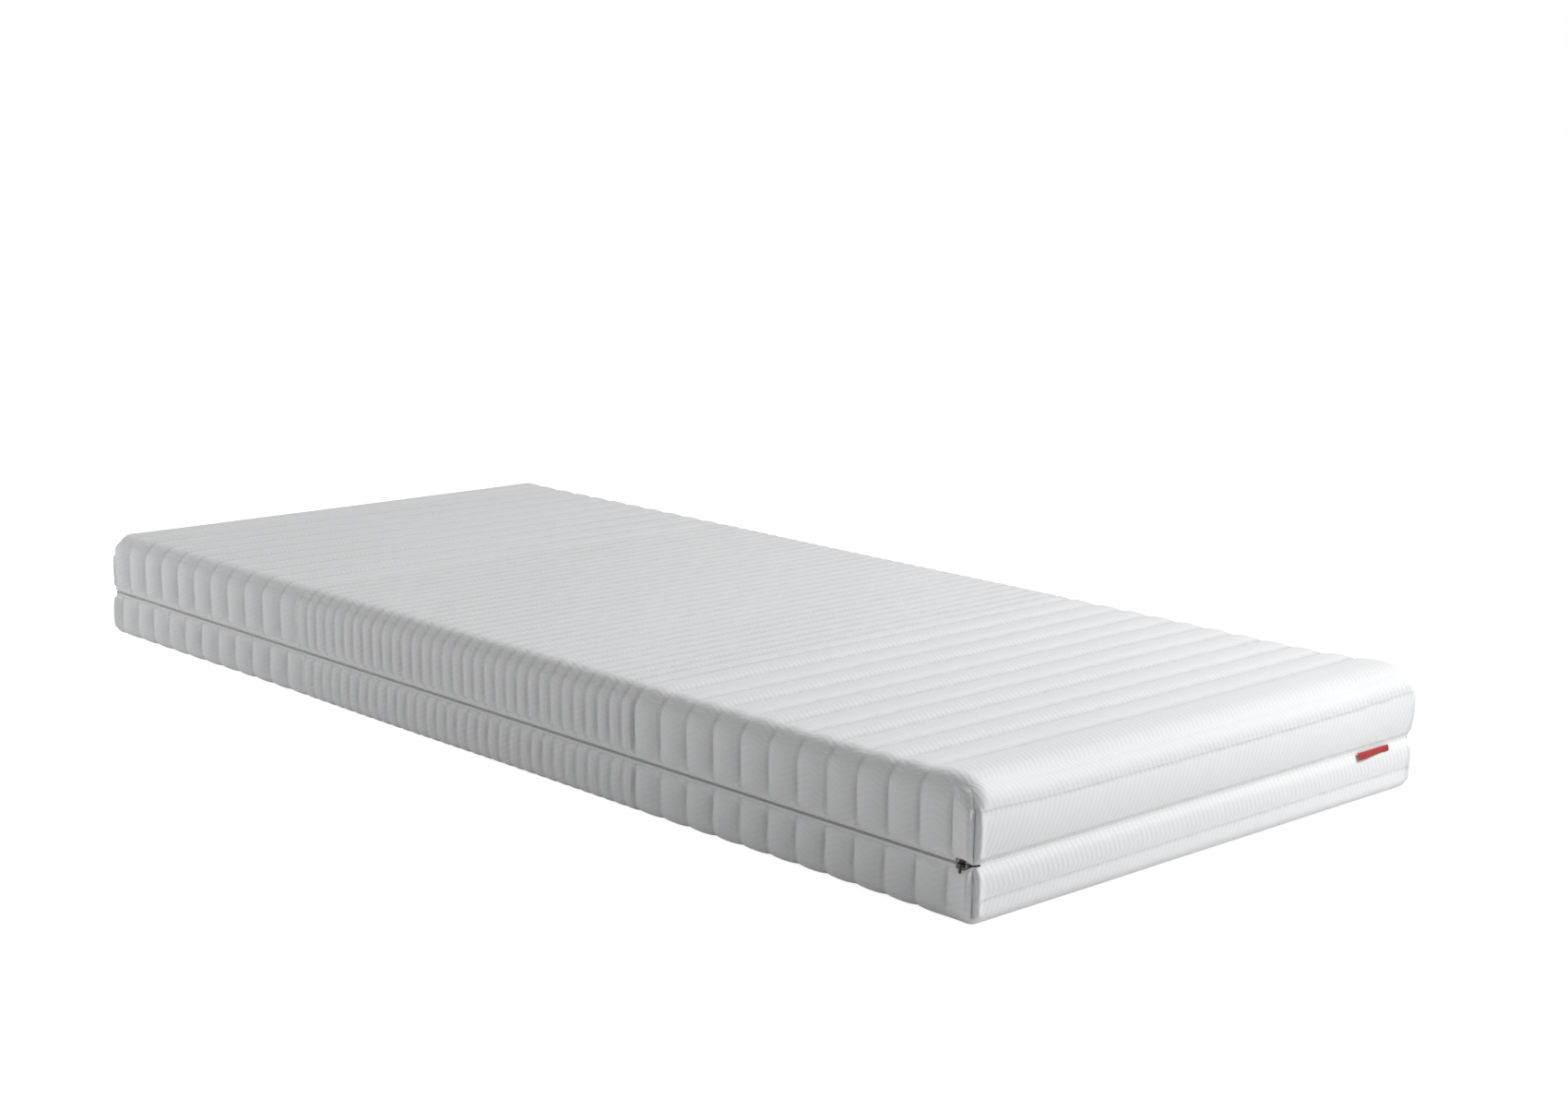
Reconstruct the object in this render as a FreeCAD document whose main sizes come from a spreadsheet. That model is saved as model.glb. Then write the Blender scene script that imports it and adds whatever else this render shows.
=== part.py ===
import FreeCAD, Part
import math
import os

import Sketcher

# Memory foam mattress in a quilted zip cover, in millimetres.
# +X runs along the mattress to the end with the label, +Y is across, +Z is up.
# The origin is under the middle of the mattress, on the surface that it lies on.
# "Depth" is always measured inwards from the outermost face of the sides.
# "Reach" is always measured up or down from the plane of the zip.

doc = FreeCAD.newDocument("memory_foam_mattress")
sheet = doc.addObject("Spreadsheet::Sheet", "Dimensions")

DIMENSIONS = [
    # overall sizes
    ("mattress_length", 2000),
    ("mattress_width", 900),
    ("mattress_height", 174),
    ("zip_level", 74),
    ("corner_radius", 16),
    ("top_edge_radius", 14),
    ("bottom_edge_radius", 12),
    # quilted cover
    ("ticking_thickness", 2),
    ("wadding_thickness", 8.5),
    ("lining_thickness", 1),
    # foam
    ("memory_foam_thickness", 40),
    ("foam_side_gap", 2.5),
    ("foam_top_gap", 0.3),
    ("foam_corner_radius", 30),
    ("foam_edge_radius", 10),
    # turned-in hems that hide the zip
    ("hem_setback", 1),
    ("hem_thickness", 1.2),
    ("hem_reach", 12),
    ("hem_base_height", 8),
    ("slit_height", 4),
    # zip
    ("tape_thickness", 0.8),
    ("tape_width", 17.4),
    ("tape_gap", 1.2),
    ("coil_thickness", 1.8),
    ("coil_width", 2),
    ("stop_length", 1.7),
    ("stop_thickness", 2.5),
    ("stop_width", 2.6),
    ("running_clearance", 0.3),
    # slider and its pull
    ("slider_length", 9),
    ("slider_width", 8),
    ("plate_thickness", 1.2),
    ("web_length", 3),
    ("web_thickness", 0.6),
    ("post_thickness", 1.2),
    ("post_width", 2.4),
    ("bar_radius", 0.6),
    ("bar_depth", 2),
    ("eye_clearance", 0.2),
    ("eye_wall", 0.8),
    ("eye_length", 3.2),
    ("pull_width", 3.2),
    ("pull_thickness", 1),
    ("pull_length", 11.2),
    # sewn trim
    ("end_tape_thickness", 0.8),
    ("end_tape_reach", 7),
    ("label_width", 72),
    ("label_thickness", 0.8),
    ("label_height", 10),
    ("label_gap", 1.5),
    ("label_offset", 350),
    ("seam_allowance", 8),
    ("seam_thickness", 2.4),
]
for row, (alias, value) in enumerate(DIMENSIONS, start=1):
    sheet.set(f"A{row}", alias)
    sheet.set(f"B{row}", str(value))
    sheet.setAlias(f"B{row}", alias)
doc.recompute()

# Faces closer than this lie at the same place.
TOUCH = 0.001


def cell(alias):
    return f"Dimensions.{alias}"


HALF_LENGTH = f"({cell('mattress_length')} / 2)"
HALF_WIDTH = f"({cell('mattress_width')} / 2)"

# Depths of the layers, from the outside in.
WADDING_DEPTH = cell("ticking_thickness")
LINING_DEPTH = f"({WADDING_DEPTH} + {cell('wadding_thickness')})"
HOLLOW_DEPTH = f"({LINING_DEPTH} + {cell('lining_thickness')})"
FOAM_DEPTH = f"({HOLLOW_DEPTH} + {cell('foam_side_gap')})"
FLAP_DEPTH = f"({cell('ticking_thickness')} + {cell('hem_setback')})"
BEHIND_FLAP_DEPTH = f"({FLAP_DEPTH} + {cell('hem_thickness')})"
OUTER_PLATE_DEPTH = f"({BEHIND_FLAP_DEPTH} + {cell('running_clearance')})"
TAPE_DEPTH = (
    f"({OUTER_PLATE_DEPTH} + {cell('plate_thickness')} + {cell('running_clearance')})"
)
COIL_DEPTH = f"({TAPE_DEPTH} + {cell('tape_thickness')})"
INNER_PLATE_DEPTH = (
    f"({COIL_DEPTH} + {cell('coil_thickness')} + {cell('running_clearance')})"
)

# Reaches of what ends near the zip.
RIM_REACH = cell("hem_reach")
HEM_BASE_REACH = f"({RIM_REACH} + {cell('hem_base_height')})"
SLIT_REACH = f"({cell('slit_height')} / 2)"
TAPE_REACH = f"({cell('tape_gap')} / 2)"
LINING_REACH = f"({cell('slider_width')} / 2 + {cell('running_clearance')})"

# The cover's straight sides, and so the zip, stop where the corners begin to turn.
ZIP_END = f"({HALF_LENGTH} - {cell('corner_radius')})"
SLIDER_PARK = (
    f"({ZIP_END} - {cell('stop_length')} - {cell('running_clearance')}"
    f" - {cell('slider_length')} / 2)"
)

LOWER = "lower"
UPPER = "upper"
TOTAL_REACH = {
    LOWER: cell("zip_level"),
    UPPER: f"({cell('mattress_height')} - {cell('zip_level')})",
}
EDGE_RADIUS = {LOWER: cell("bottom_edge_radius"), UPPER: cell("top_edge_radius")}


def corner_at(depth):
    """Radius of the upright corners of the layer that lies at this depth."""
    return f"max({cell('corner_radius')} - {depth}; 1.5)"


def edge_at(side, depth, wall):
    """Radius of a layer's long edges, kept inside its upright corners."""
    smallest = f"{wall} + 0.3"
    largest = f"{corner_at(depth)} - 0.3"
    return f"min(max({EDGE_RADIUS[side]} - {depth}; {smallest}); {largest})"


def between(side, near, far):
    """Lower level and height of the space between two reaches."""
    if side == LOWER:
        return f"{cell('zip_level')} - {far}", f"{far} - ({near})"
    return f"{cell('zip_level')} + {near}", f"{far} - ({near})"


def new_body(name):
    body = doc.addObject("PartDesign::Body", name)
    body.Label = name
    return body


def rounded_outline(body, name, depth, level, radius):
    """Sketch of the mattress's outline at one depth, at a height above the floor."""
    sketch = body.newObject("Sketcher::SketchObject", name)
    planes = body.Origin.OriginFeatures
    sketch.AttachmentSupport = (next(p for p in planes if p.Role == "XY_Plane"), [""])
    sketch.MapMode = "FlatFace"
    sketch.setExpression("AttachmentOffset.Base.z", level)
    half_x, half_y, turn = 90, 60, 10
    up = FreeCAD.Vector(0, 0, 1)
    ways = [FreeCAD.Vector(*way) for way in ((1, 0, 0), (0, 1, 0), (-1, 0, 0), (0, -1, 0))]
    signs = ((1, 1), (-1, 1), (-1, -1), (1, -1))
    centres = [FreeCAD.Vector(x * (half_x - turn), y * (half_y - turn), 0) for x, y in signs]
    for side, way in enumerate(ways):
        start = centres[side - 1] + way * turn
        end = centres[side] + way * turn
        sketch.addGeometry(Part.LineSegment(start, end), False)
    for corner, centre in enumerate(centres):
        first = corner * math.pi / 2
        circle = Part.Circle(centre, up, turn)
        sketch.addGeometry(Part.ArcOfCircle(circle, first, first + math.pi / 2), False)
    for side in range(4):
        arc = 4 + side
        sketch.addConstraint(Sketcher.Constraint("Tangent", side, 2, arc, 1))
        sketch.addConstraint(Sketcher.Constraint("Tangent", arc, 2, (side + 1) % 4, 1))
    for side, direction in enumerate(("Vertical", "Horizontal", "Vertical", "Horizontal")):
        sketch.addConstraint(Sketcher.Constraint(direction, side))
    for arc in (5, 6, 7):
        sketch.addConstraint(Sketcher.Constraint("Equal", 4, arc))
    sketch.addConstraint(Sketcher.Constraint("Symmetric", 4, 3, 6, 3, -1, 1))
    sizes = (
        ("Radius", (4,), turn, radius),
        ("DistanceX", (2, 1, 0, 1), 2 * half_x, f"{cell('mattress_length')} - 2 * {depth}"),
        ("DistanceY", (3, 1, 1, 1), 2 * half_y, f"{cell('mattress_width')} - 2 * {depth}"),
    )
    for kind, places, value, size in sizes:
        index = sketch.addConstraint(Sketcher.Constraint(kind, *places, value))
        sketch.setExpression(f"Constraints[{index}]", size)
    return sketch


def add_block(body, depth, level, height, radius=None):
    """A solid block of the outline at one depth."""
    pad = body.newObject("PartDesign::Pad", "Block")
    corner = radius or corner_at(depth)
    pad.Profile = rounded_outline(body, "BlockOutline", depth, level, corner)
    pad.setExpression("Length", height)
    return pad


def cut_block(body, depth, level, height):
    """A cavity of the outline at one depth, open upwards from its level."""
    pocket = body.newObject("PartDesign::Pocket", "Cavity")
    pocket.Profile = rounded_outline(body, "CavityOutline", depth, level, corner_at(depth))
    pocket.Reversed = True
    pocket.setExpression("Length", height)
    return pocket


def round_face(body, block, level, radius):
    """Round every edge of the block's flat face at a level."""
    doc.recompute()
    height = body.evalExpression(level)
    names = []
    for index, edge in enumerate(block.Shape.Edges, start=1):
        bounds = edge.BoundBox
        if abs(bounds.ZMin - height) < TOUCH and abs(bounds.ZMax - height) < TOUCH:
            names.append(f"Edge{index}")
    fillet = body.newObject("PartDesign::Fillet", "EdgeRound")
    fillet.Base = (block, names)
    fillet.setExpression("Radius", radius)


def rounded_block(name, side, depth, near, far, radius):
    """A block that reaches away from the zip and is rounded at its far side."""
    body = new_body(name)
    block = add_block(body, depth, *between(side, near, far))
    sign = "-" if side == LOWER else "+"
    round_face(body, block, f"{cell('zip_level')} {sign} {far}", radius)
    return body


def cover_layer(name, side, depth, wall, near):
    """A tray that is open towards the zip: one layer of one half of the cover."""
    outer_far = f"({TOTAL_REACH[side]} - {depth})"
    inner_depth = f"({depth} + {wall})"
    inner_far = f"({TOTAL_REACH[side]} - {inner_depth})"
    outer_radius = edge_at(side, depth, wall)
    inner_radius = f"{outer_radius} - {wall}"
    tray = doc.addObject("Part::Cut", name)
    tray.Label = name
    tray.Base = rounded_block(f"{name}_outside", side, depth, near, outer_far, outer_radius)
    tray.Tool = rounded_block(f"{name}_inside", side, inner_depth, near, inner_far, inner_radius)
    return tray


def ring(body, outer_depth, inner_depth, side, near, far):
    """A closed band round the mattress, between two depths and two reaches."""
    level, height = between(side, near, far)
    add_block(body, outer_depth, level, height)
    cut_block(body, inner_depth, level, height)


def open_at_end(body, side, end):
    """Cut a band off at its two ends, towards the end of the mattress with the label."""
    level, height = between(side, 0, TOTAL_REACH[side])
    sizes = (f"{HALF_LENGTH} - ({end})", cell("mattress_width"), height)
    part_box(body, "Subtractive", sizes, (end, f"-{HALF_WIDTH}", level))


def hem(name, side):
    """The cover's turned-in edge: a base sewn to the ticking and a flap over the zip."""
    body = new_body(name)
    level, height = between(side, RIM_REACH, HEM_BASE_REACH)
    flap_level, flap_height = between(side, SLIT_REACH, RIM_REACH)
    add_block(body, WADDING_DEPTH, level, height)
    add_block(body, FLAP_DEPTH, flap_level, flap_height)
    cut_block(body, TAPE_DEPTH, level, height)
    cut_block(body, BEHIND_FLAP_DEPTH, flap_level, flap_height)
    return body


def zip_tape(name, side):
    body = new_body(name)
    far = f"({TAPE_REACH} + {cell('tape_width')})"
    ring(body, TAPE_DEPTH, COIL_DEPTH, side, TAPE_REACH, far)
    open_at_end(body, side, ZIP_END)
    return body


def zip_coil(name, side):
    body = new_body(name)
    inner = f"({COIL_DEPTH} + {cell('coil_thickness')})"
    far = f"({TAPE_REACH} + {cell('coil_width')})"
    ring(body, COIL_DEPTH, inner, side, TAPE_REACH, far)
    open_at_end(body, side, f"({ZIP_END} - {cell('stop_length')})")
    return body


def compound(name, pieces):
    group = doc.addObject("Part::Compound", name)
    group.Label = name
    group.Links = pieces
    return group


def bind_box(piece, sizes, base):
    """Bind a box's three sizes and its lowest corner to the sheet."""
    for size, expression in zip(("Length", "Width", "Height"), sizes):
        piece.setExpression(size, expression)
    for axis, expression in zip("xyz", base):
        piece.setExpression(f"Placement.Base.{axis}", expression)


def box(name, sizes, base):
    piece = doc.addObject("Part::Box", name)
    bind_box(piece, sizes, base)
    return piece


def zip_stops(name, side):
    """The two blocks at the ends of the zip, one on each long side."""
    far = f"({TAPE_REACH} + {cell('stop_width')})"
    level, height = between(side, TAPE_REACH, far)
    sizes = (cell("stop_length"), cell("stop_thickness"), height)
    start = f"{ZIP_END} - {cell('stop_length')}"
    left = box(f"{name}_left", sizes, (start, f"-{HALF_WIDTH} + {COIL_DEPTH}", level))
    right_face = f"{HALF_WIDTH} - {COIL_DEPTH} - {cell('stop_thickness')}"
    right = box(f"{name}_right", sizes, (start, right_face, level))
    return compound(name, [left, right])


def corner_seams(name, side):
    """The folded seam allowance inside each of the four sewn corners."""
    slack = f"({corner_at(HOLLOW_DEPTH)} * (1 - sqrt(0.5)) + {cell('running_clearance')})"
    near = LINING_REACH
    far = f"({TOTAL_REACH[side]} - {HOLLOW_DEPTH} - 1)"
    level, height = between(side, near, far)
    half_skew = f"{cell('seam_thickness')} / 2 * sqrt(0.5)"
    pieces = []
    for number, (way_x, way_y) in enumerate(((1, 1), (-1, 1), (-1, -1), (1, -1)), start=1):
        corner_x = f"{way_x} * ({HALF_LENGTH} - {HOLLOW_DEPTH} - {slack})"
        corner_y = f"{way_y} * ({HALF_WIDTH} - {HOLLOW_DEPTH} - {slack})"
        base = (
            f"{corner_x} - {way_y} * {half_skew}",
            f"{corner_y} + {way_x} * {half_skew}",
            level,
        )
        sizes = (cell("seam_allowance"), cell("seam_thickness"), height)
        strip = box(f"{name}_{number}", sizes, base)
        inwards = math.degrees(math.atan2(-way_y, -way_x))
        strip.Placement.Rotation = FreeCAD.Rotation(FreeCAD.Vector(0, 0, 1), inwards)
        pieces.append(strip)
    return compound(name, pieces)


def part_box(body, kind, sizes, base):
    """A box added to or cut from a body, about the body's own origin."""
    bind_box(body.newObject(f"PartDesign::{kind}Box", f"{kind}Box"), sizes, base)


def part_rod(body, kind, radius, length):
    """A cylinder along X through the crown bar's axis, centred on the slider."""
    rod = body.newObject(f"PartDesign::{kind}Cylinder", f"{kind}Rod")
    rod.setExpression("Radius", radius)
    rod.setExpression("Height", length)
    rod.Placement.Rotation = FreeCAD.Rotation(FreeCAD.Vector(0, 1, 0), 90)
    rod.setExpression("Placement.Base.x", f"-({length}) / 2")
    rod.setExpression("Placement.Base.y", cell("bar_depth"))


def foam_layer(name, level, height):
    """A slab of foam that fills the cover's hollow, less the gap at its sides."""
    body = new_body(name)
    add_block(body, FOAM_DEPTH, level, height, cell("foam_corner_radius"))
    return body


# ------------------------------------------------------------------- foam layers
FOAM_TOP = f"({cell('mattress_height')} - {HOLLOW_DEPTH} - {cell('foam_top_gap')})"
MEMORY_BASE = f"({FOAM_TOP} - {cell('memory_foam_thickness')})"
support_core = foam_layer("support_foam_core", HOLLOW_DEPTH, f"{MEMORY_BASE} - {HOLLOW_DEPTH}")
memory_layer = foam_layer("memory_foam_layer", MEMORY_BASE, cell("memory_foam_thickness"))
round_face(memory_layer, memory_layer.Tip, FOAM_TOP, cell("foam_edge_radius"))

# ------------------------------------------------------- two halves of the cover
WALLS = (
    ("ticking", "0", cell("ticking_thickness"), RIM_REACH),
    ("wadding", WADDING_DEPTH, cell("wadding_thickness"), HEM_BASE_REACH),
    ("lining", LINING_DEPTH, cell("lining_thickness"), LINING_REACH),
)
cover_parts = []
for side, half in ((LOWER, "bottom"), (UPPER, "top")):
    for layer, depth, wall, near in WALLS:
        cover_parts.append(cover_layer(f"{half}_cover_{layer}", side, depth, wall, near))
    cover_parts.append(hem(f"{half}_cover_hem", side))
    cover_parts.append(corner_seams(f"{half}_corner_seams", side))
    cover_parts.append(zip_tape(f"zip_tape_{side}", side))
    cover_parts.append(zip_coil(f"zip_coil_{side}", side))
    cover_parts.append(zip_stops(f"zip_stops_{side}", side))

# ----------------------------------------------------- trim of the sewn end seam
end_seam_tape = new_body("end_seam_tape")
STRAIGHT_HALF_WIDTH = f"({HALF_WIDTH} - {cell('corner_radius')})"
part_box(
    end_seam_tape,
    "Additive",
    (cell("end_tape_thickness"), f"2 * {STRAIGHT_HALF_WIDTH}", f"2 * {cell('end_tape_reach')}"),
    (
        f"{HALF_LENGTH} - {BEHIND_FLAP_DEPTH} - {cell('end_tape_thickness')}"
        f" - {cell('running_clearance')}",
        f"-{STRAIGHT_HALF_WIDTH}",
        f"{cell('zip_level')} - {cell('end_tape_reach')}",
    ),
)

side_label = new_body("side_label")
part_box(
    side_label,
    "Additive",
    (cell("label_thickness"), cell("label_width"), cell("label_height")),
    (
        f"{HALF_LENGTH} - {FLAP_DEPTH} + {cell('running_clearance')} / 2",
        f"{cell('label_offset')} - {cell('label_width')} / 2",
        f"{cell('zip_level')} - {cell('label_gap')} - {cell('label_height')}",
    ),
)

# --------------------------------------------------------------- slider and pull
# Both are drawn about the zip's line, on the outermost face of the side, and then placed.
HALF_SLIDER = f"{cell('slider_length')} / 2"
BAR_FACE = f"({cell('bar_depth')} - {cell('bar_radius')})"
EYE_RADIUS = f"({cell('bar_radius')} + {cell('eye_clearance')} + {cell('eye_wall')})"


def place_on_zip(body):
    body.setExpression("Placement.Base.x", SLIDER_PARK)
    body.setExpression("Placement.Base.y", f"-{HALF_WIDTH}")
    body.setExpression("Placement.Base.z", cell("zip_level"))


def slider_plate(body, depth):
    sizes = (cell("slider_length"), cell("plate_thickness"), cell("slider_width"))
    base = (f"-{HALF_SLIDER}", depth, f"-{cell('slider_width')} / 2")
    part_box(body, "Additive", sizes, base)


slider = new_body("zip_slider_body")
slider_plate(slider, OUTER_PLATE_DEPTH)
part_box(
    slider,
    "Additive",
    (cell("web_length"), f"{INNER_PLATE_DEPTH} - {OUTER_PLATE_DEPTH}", cell("web_thickness")),
    (f"-{cell('web_length')} / 2", OUTER_PLATE_DEPTH, f"-{cell('web_thickness')} / 2"),
)
slider_plate(slider, INNER_PLATE_DEPTH)
for post_start in (f"-{HALF_SLIDER}", f"{HALF_SLIDER} - {cell('post_thickness')}"):
    part_box(
        slider,
        "Additive",
        (cell("post_thickness"), f"{OUTER_PLATE_DEPTH} - {BAR_FACE}", cell("post_width")),
        (post_start, BAR_FACE, f"-{cell('post_width')} / 2"),
    )
part_rod(slider, "Additive", cell("bar_radius"), cell("slider_length"))
place_on_zip(slider)

pull = new_body("zip_pull")
part_rod(pull, "Additive", EYE_RADIUS, cell("eye_length"))
part_box(
    pull,
    "Additive",
    (cell("pull_width"), cell("pull_thickness"), cell("pull_length")),
    (
        f"-{cell('pull_width')} / 2",
        f"{cell('bar_depth')} - {cell('pull_thickness')} - {cell('eye_clearance')}",
        f"-{cell('pull_length')}",
    ),
)
bore_radius = f"{cell('bar_radius')} + {cell('eye_clearance')}"
part_rod(pull, "Subtractive", bore_radius, f"{cell('eye_length')} + 1")
place_on_zip(pull)

# ------------------------------------------------------------------------ output
doc.recompute()
parts = [support_core, memory_layer, *cover_parts, end_seam_tape, side_label, slider, pull]
failed = [item.Name for item in doc.Objects if {"Invalid", "Error"} & set(item.State)]
if failed:
    raise RuntimeError(f"failed features: {failed}")
for part in parts:
    if part.Shape.isNull() or not part.Shape.isValid():
        raise RuntimeError(f"bad shape: {part.Label}")

os.makedirs("parts", exist_ok=True)
for part in parts:
    part.Shape.exportStep(f"parts/{part.Label}.step")
    print(part.Label, len(part.Shape.Solids), round(part.Shape.Volume / 1000, 2), "cm3")
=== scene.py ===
import math

import bpy
import numpy as np
from mathutils import Euler, Matrix, Vector


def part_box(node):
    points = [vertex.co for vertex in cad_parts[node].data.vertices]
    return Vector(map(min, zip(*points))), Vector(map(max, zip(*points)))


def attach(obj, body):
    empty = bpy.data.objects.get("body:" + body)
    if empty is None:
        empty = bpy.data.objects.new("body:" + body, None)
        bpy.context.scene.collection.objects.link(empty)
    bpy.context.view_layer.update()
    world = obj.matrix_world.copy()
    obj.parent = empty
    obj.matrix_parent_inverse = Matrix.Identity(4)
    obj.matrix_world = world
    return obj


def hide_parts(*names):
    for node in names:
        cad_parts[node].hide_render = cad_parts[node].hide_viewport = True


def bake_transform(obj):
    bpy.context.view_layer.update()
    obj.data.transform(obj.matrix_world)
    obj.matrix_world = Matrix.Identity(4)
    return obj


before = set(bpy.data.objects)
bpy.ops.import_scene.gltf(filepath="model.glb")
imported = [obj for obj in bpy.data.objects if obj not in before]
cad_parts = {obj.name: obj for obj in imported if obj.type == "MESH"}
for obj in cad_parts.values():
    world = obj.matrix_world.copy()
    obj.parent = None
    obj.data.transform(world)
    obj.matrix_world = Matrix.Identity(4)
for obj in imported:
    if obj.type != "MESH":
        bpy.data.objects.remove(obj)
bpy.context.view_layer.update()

# ------------------------------------------------------------------ support core
# A slab of springy open-cell foam fills the lower part of the cover. It is cut from
# a large bun, so its faces are flat and its upright corners are rounded off.


def make_mesh(name, points, faces):
    """A smooth-shaded piece made of these points and faces."""
    mesh = bpy.data.meshes.new(name)
    mesh.from_pydata(np.asarray(points).tolist(), [], np.asarray(faces).tolist())
    mesh.polygons.foreach_set("use_smooth", [True] * len(mesh.polygons))
    mesh.update()
    piece = bpy.data.objects.new(name, mesh)
    bpy.context.scene.collection.objects.link(piece)
    return piece


def outline(half_x, half_y, radius, step):
    """Points and outward directions round a rectangle with rounded corners."""
    points, ways = [], []
    centres = ((1, 1), (-1, 1), (-1, -1), (1, -1))
    turns = max(4, int(radius * math.pi / 2 / step) + 1)
    for corner, (side_x, side_y) in enumerate(centres):
        centre = np.array([side_x * (half_x - radius), side_y * (half_y - radius)])
        angles = corner * math.pi / 2 + np.linspace(0, math.pi / 2, turns + 1)
        arc_ways = np.stack([np.cos(angles), np.sin(angles)], axis=1)
        points.extend(centre + radius * arc_ways)
        ways.extend(arc_ways)
        next_x, next_y = centres[(corner + 1) % 4]
        following = np.array([next_x * (half_x - radius), next_y * (half_y - radius)])
        end = centre + radius * arc_ways[-1]
        start = following + radius * arc_ways[-1]
        count = max(2, int(np.linalg.norm(start - end) / step))
        for part in range(1, count):
            points.append(end + (start - end) * part / count)
            ways.append(arc_ways[-1])
    return np.array(points), np.array(ways)


def loft(rings, closed_ring=True):
    """The points of rings of equal length, and the faces between them."""
    rings = np.asarray(rings)
    count, size = rings.shape[:2]
    faces = []
    last = size if closed_ring else size - 1
    for ring in range(count - 1):
        for place in range(last):
            after = (place + 1) % size
            low, high = ring * size, (ring + 1) * size
            faces.append((low + place, low + after, high + after, high + place))
    return rings.reshape(-1, 3), faces


def foam_slab(name, node, edge):
    """A slab with rounded upright corners and slightly softened long edges."""
    low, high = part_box(node)
    half_x, half_y = (high.x - low.x) / 2, (high.y - low.y) / 2
    corner = 0.030
    loop, ways = outline(half_x, half_y, corner, 0.02)
    profile = [(0.012, 0.0), (edge, 0.0)]
    for angle in np.linspace(0, math.pi / 2, 5):
        profile.append((edge * (1 - math.sin(angle)), edge * (1 - math.cos(angle))))
    upper = [(inset, high.z - low.z - rise) for inset, rise in reversed(profile)]
    rings = []
    for inset, rise in profile + upper:
        ring = loop - ways * inset
        rings.append(np.column_stack([ring, np.full(len(ring), low.z + rise)]))
    points, faces = loft(rings)
    size = len(loop)
    faces = [list(face) for face in faces]
    faces.append(list(range(size))[::-1])
    faces.append(list(range(len(points) - size, len(points))))
    mesh = bpy.data.meshes.new(name)
    mesh.from_pydata(points.tolist(), [], faces)
    mesh.polygons.foreach_set("use_smooth", [True] * (len(faces) - 2) + [False] * 2)
    mesh.update()
    piece = bpy.data.objects.new(name, mesh)
    bpy.context.scene.collection.objects.link(piece)
    return piece


def new_material(name, colour, roughness):
    """A material and its nodes, links and surface shader, ready for more nodes."""
    material = bpy.data.materials.new(name)
    material.use_nodes = True
    nodes, links = material.node_tree.nodes, material.node_tree.links
    surface = nodes["Principled BSDF"]
    surface.inputs["Base Color"].default_value = (*colour, 1)
    surface.inputs["Roughness"].default_value = roughness
    surface.inputs["Specular IOR Level"].default_value = 0.25
    return material, nodes, links, surface


def roughen(nodes, links, surface, height, strength, distance):
    """Lets a height texture tilt the surface."""
    bump = nodes.new("ShaderNodeBump")
    bump.inputs["Strength"].default_value = strength
    bump.inputs["Distance"].default_value = distance
    links.new(height, bump.inputs["Height"])
    links.new(bump.outputs["Normal"], surface.inputs["Normal"])


def tint(nodes, links, surface, factor, first, second):
    """Mixes two colours by a texture into the surface's own colour."""
    tone = nodes.new("ShaderNodeMix")
    tone.data_type = "RGBA"
    tone.inputs["A"].default_value = first
    tone.inputs["B"].default_value = second
    links.new(factor, tone.inputs["Factor"])
    links.new(tone.outputs["Result"], surface.inputs["Base Color"])


def foam_material(name, colour, shade, cell_size):
    """Open-cell foam: fine pits of two sizes and a faint mottling of its colour."""
    material, nodes, links, surface = new_material(name, colour, 0.95)
    place = nodes.new("ShaderNodeTexCoord")
    cells = nodes.new("ShaderNodeTexVoronoi")
    cells.inputs["Scale"].default_value = 1 / cell_size
    links.new(place.outputs["Object"], cells.inputs["Vector"])
    mottle = nodes.new("ShaderNodeTexNoise")
    mottle.inputs["Scale"].default_value = 14
    mottle.inputs["Detail"].default_value = 6
    links.new(place.outputs["Object"], mottle.inputs["Vector"])
    tint(nodes, links, surface, mottle.outputs["Fac"], (*colour, 1), (*shade, 1))
    roughen(nodes, links, surface, cells.outputs["Distance"], 0.6, cell_size * 0.5)
    return material


def give(piece, material):
    piece.data.materials.clear()
    piece.data.materials.append(material)
    return piece


support_core = foam_slab("support_core", "support_foam_core", 0.002)
give(support_core, foam_material("support_foam", (0.72, 0.76, 0.78), (0.66, 0.70, 0.73), 0.0022))
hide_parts("support_foam_core")
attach(support_core, "mattress")

# -------------------------------------------------------------------- memory layer
# The slow-recovering foam that the sleeper lies on is glued to the core. It is denser,
# finer and creamier than the core, and its upper edges are rounded.
memory_layer = foam_slab("memory_layer", "memory_foam_layer", 0.008)
give(memory_layer, foam_material("memory_foam", (0.87, 0.83, 0.70), (0.83, 0.78, 0.64), 0.0011))
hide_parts("memory_foam_layer")
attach(memory_layer, "mattress")

# ------------------------------------------------------------ quilted lower cover
# Stretch knit, soft wadding and a thin backing are stitched together in channels across
# the mattress: wide ones at head and foot, narrow ones in the middle. The blank is
# folded up into a box and sewn at its four corners.
upper_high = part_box("top_cover_ticking")[1]
HALF_X, HALF_Y = upper_high.x, upper_high.y
HEIGHT = upper_high.z
ZIP_Z = (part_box("zip_tape_lower")[1].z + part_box("zip_tape_upper")[0].z) / 2
RIM_GAP = 0.0065
LOWER_RIM, UPPER_RIM = ZIP_Z - RIM_GAP, ZIP_Z + RIM_GAP
WIDE, NARROW = 0.0520, 0.0252
WIDE_AT_FOOT, NARROW_COUNT, WIDE_AT_HEAD = 10, 32, 11
CORNER = 0.016
RIM_DEPTH = 0.0030
WIDE_PUFF, NARROW_PUFF = 0.0042, 0.0024
PLAIN_ROLL, UPPER_ROLL_HEIGHT = 0.018, 0.040
NEAR_END_ROLL, FAR_END_ROLL, LONG_SIDE_ROLL = 0.034, 0.010, 0.012
ROUNDNESS = 2.2
GRID_STEP = 0.0034
GROOVE_DEPTH, GROOVE_WIDTH = 0.0085, 0.0042
SEAM_LIP = 0.0022
CORNER_RISE = 0.0060


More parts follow.
